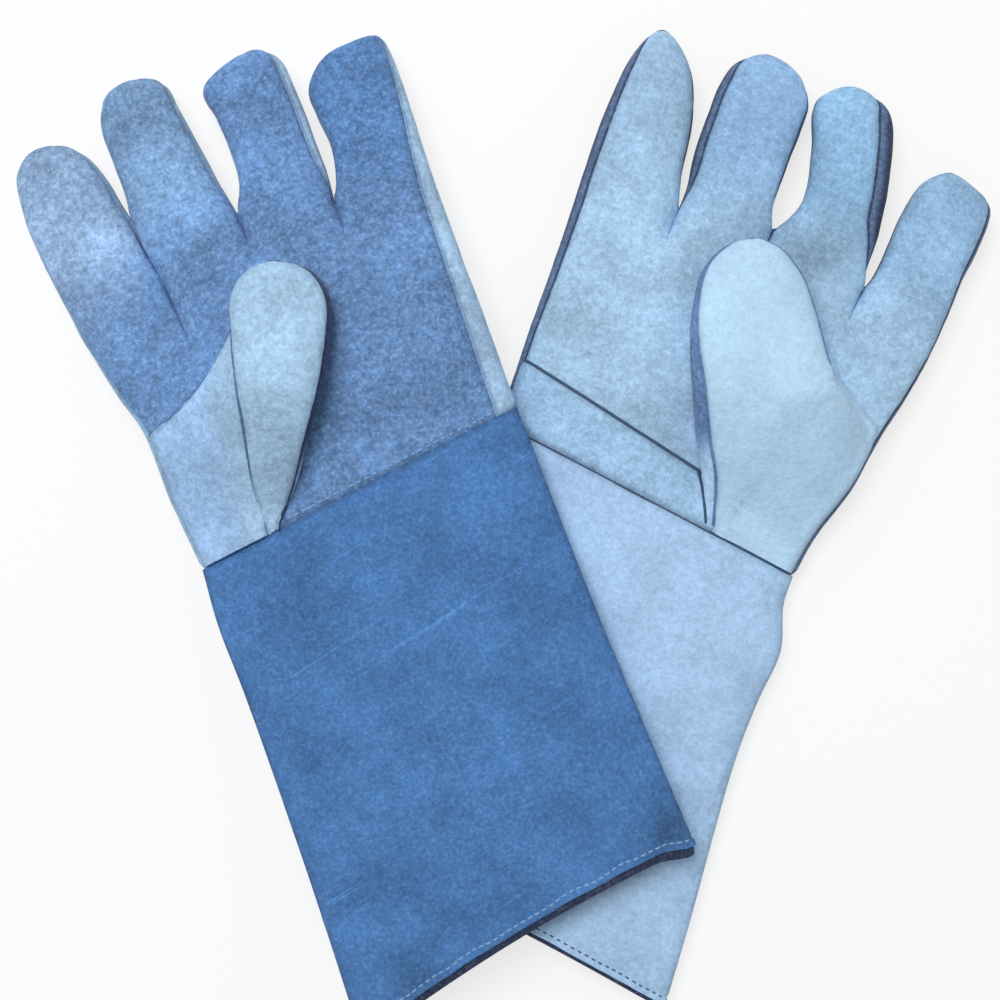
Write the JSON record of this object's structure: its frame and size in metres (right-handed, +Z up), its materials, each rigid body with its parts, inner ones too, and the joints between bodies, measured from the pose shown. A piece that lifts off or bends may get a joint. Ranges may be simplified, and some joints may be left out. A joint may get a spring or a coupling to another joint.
{
  "type": "pair of cryogenic gloves",
  "caption": "Pair of insulated split-leather gauntlet gloves laid crossed, palms up with thumbs folded over, lined fingers that bend, and long open cuffs.",
  "frame": {"origin": "centre of the pair's outline on the surface it lies on", "axes": "+Z up out of the palms, +Y towards the fingertips of both gloves, +X towards the right-hand glove"},
  "size_m": [0.3712, 0.3785, 0.0583],
  "materials": {
    "leather_dark": "suede",
    "leather_light": "suede",
    "leather_navy": "suede",
    "fleece": "fleece",
    "lining": "woven canvas"
  },
  "bodies": {
    "right_cuff": {"right_cuff_front": "leather_light", "right_cuff_back": "leather_light", "right_cuff_lining": "lining", "right_cuff_hem": "leather_navy"},
    "right_hand": {"right_palm_panel": "leather_light", "right_back_panel": "leather_navy", "right_hand_welt": "leather_navy", "right_hand_liner": "fleece", "right_thumb_gusset": "leather_light", "right_wrist_band": "leather_light"},
    "right_thumb": {"right_thumb_front": "leather_light", "right_thumb_back": "leather_light", "right_thumb_welt": "leather_light", "right_thumb_liner": "fleece"},
    "right_little": {"right_little_front": "leather_light", "right_little_back": "leather_navy", "right_little_welt": "leather_navy", "right_little_liner": "fleece"},
    "right_ring": {"right_ring_front": "leather_light", "right_ring_back": "leather_navy", "right_ring_welt": "leather_navy", "right_ring_liner": "fleece"},
    "right_middle": {"right_middle_front": "leather_light", "right_middle_back": "leather_navy", "right_middle_welt": "leather_navy", "right_middle_liner": "fleece"},
    "right_index": {"right_index_front": "leather_light", "right_index_back": "leather_navy", "right_index_welt": "leather_navy", "right_index_liner": "fleece"},
    "left_cuff": {"left_cuff_front": "leather_dark", "left_cuff_back": "leather_dark", "left_cuff_lining": "lining", "left_cuff_hem": "leather_navy"},
    "left_hand": {"left_palm_panel": "leather_dark", "left_back_panel": "leather_light", "left_hand_welt": "leather_light", "left_hand_liner": "fleece", "left_thumb_gusset": "leather_light"},
    "left_thumb": {"left_thumb_front": "leather_light", "left_thumb_back": "leather_light", "left_thumb_welt": "leather_light", "left_thumb_liner": "fleece"},
    "left_little": {"left_little_front": "leather_dark", "left_little_back": "leather_light", "left_little_welt": "leather_light", "left_little_liner": "fleece"},
    "left_ring": {"left_ring_front": "leather_dark", "left_ring_back": "leather_light", "left_ring_welt": "leather_light", "left_ring_liner": "fleece"},
    "left_middle": {"left_middle_front": "leather_dark", "left_middle_back": "leather_light", "left_middle_welt": "leather_light", "left_middle_liner": "fleece"},
    "left_index": {"left_index_front": "leather_dark", "left_index_back": "leather_light", "left_index_welt": "leather_light", "left_index_liner": "fleece"}
  },
  "joints": [
    {"name": "right_wrist_bend", "type": "hinge", "parent": "right_cuff", "child": "right_hand", "pos_m": [0.05343, 0.00906, 0.016], "axis": [0.886, -0.4637, 0], "range_deg": [0, 25]},
    {"name": "right_little_bend", "type": "hinge", "parent": "right_hand", "child": "right_little", "pos_m": [0.04515, 0.11956, 0.02], "axis": [0.9397, -0.342, 0], "range_deg": [0, 75]},
    {"name": "right_ring_bend", "type": "hinge", "parent": "right_hand", "child": "right_ring", "pos_m": [0.08318, 0.11476, 0.02], "axis": [0.9397, -0.342, 0], "range_deg": [0, 75]},
    {"name": "right_middle_bend", "type": "hinge", "parent": "right_hand", "child": "right_middle", "pos_m": [0.11746, 0.09963, 0.02], "axis": [0.9397, -0.342, 0], "range_deg": [0, 75]},
    {"name": "right_index_bend", "type": "hinge", "parent": "right_hand", "child": "right_index", "pos_m": [0.14646, 0.07524, 0.02], "axis": [0.9397, -0.342, 0], "range_deg": [0, 75]},
    {"name": "right_thumb_fold", "type": "hinge", "parent": "right_hand", "child": "right_thumb", "pos_m": [0.09972, 0.02957, 0.02934], "axis": [0.4862, 0.8248, 0.2887], "range_deg": [0, 90]},
    {"name": "left_wrist_bend", "type": "hinge", "parent": "left_cuff", "child": "left_hand", "pos_m": [-0.05423, 0.01296, 0.0326], "axis": [0.886, 0.4637, 0], "range_deg": [0, 25]},
    {"name": "left_little_bend", "type": "hinge", "parent": "left_hand", "child": "left_little", "pos_m": [-0.04595, 0.12346, 0.02771], "axis": [0.9396, 0.342, 0.0129], "range_deg": [0, 75]},
    {"name": "left_ring_bend", "type": "hinge", "parent": "left_hand", "child": "left_ring", "pos_m": [-0.08398, 0.11866, 0.02643], "axis": [0.9396, 0.342, 0.0129], "range_deg": [0, 75]},
    {"name": "left_middle_bend", "type": "hinge", "parent": "left_hand", "child": "left_middle", "pos_m": [-0.11826, 0.10353, 0.02618], "axis": [0.9396, 0.342, 0.0129], "range_deg": [0, 75]},
    {"name": "left_index_bend", "type": "hinge", "parent": "left_hand", "child": "left_index", "pos_m": [-0.14726, 0.07914, 0.02695], "axis": [0.9396, 0.342, 0.0129], "range_deg": [0, 75]},
    {"name": "left_thumb_fold", "type": "hinge", "parent": "left_hand", "child": "left_thumb", "pos_m": [-0.0898, 0.03004, 0.04272], "axis": [0.1611, -0.936, -0.3128], "range_deg": [0, 90]},
    {"name": "left_glove_lift", "type": "slide", "parent": "right_cuff", "child": "left_cuff", "axis": [0, 0, 1], "range_m": [0, 0.15]}
  ]
}
